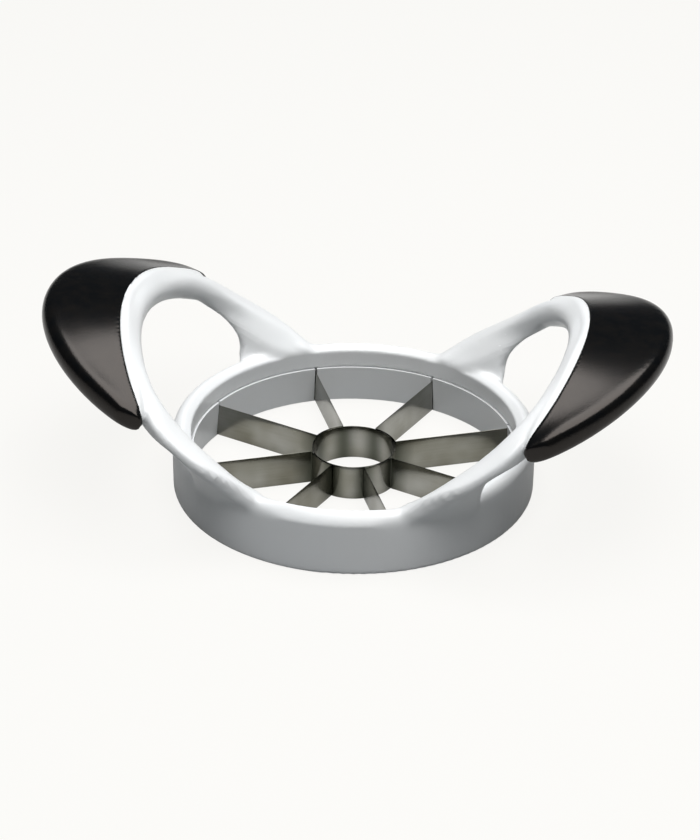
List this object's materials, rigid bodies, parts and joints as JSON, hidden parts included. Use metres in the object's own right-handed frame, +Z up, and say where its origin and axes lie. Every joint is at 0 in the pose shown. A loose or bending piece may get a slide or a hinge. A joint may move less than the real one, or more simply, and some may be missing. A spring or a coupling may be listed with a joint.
{
  "type": "apple slicer",
  "caption": "Push-down apple slicer and corer: a round white frame with two upswept wing handles, soft grips and thin steel blades bent round a corer tube.",
  "frame": {"origin": "centre of the ring on the plane the ring stands on", "axes": "+X along the two handles, +Z up, out of the ring's mouth"},
  "size_m": [0.1836, 0.108, 0.0581],
  "materials": {
    "white_plastic": "gloss",
    "blade_steel": "brushed",
    "grip_rubber": "satin"
  },
  "bodies": {
    "root": {"frame": "white_plastic", "blade_ring": "white_plastic", "corer_tube": "blade_steel", "blade_strip_1": "blade_steel", "blade_strip_2": "blade_steel", "blade_strip_3": "blade_steel", "blade_strip_4": "blade_steel", "left_grip": "grip_rubber", "right_grip": "grip_rubber"}
  },
  "joints": []
}
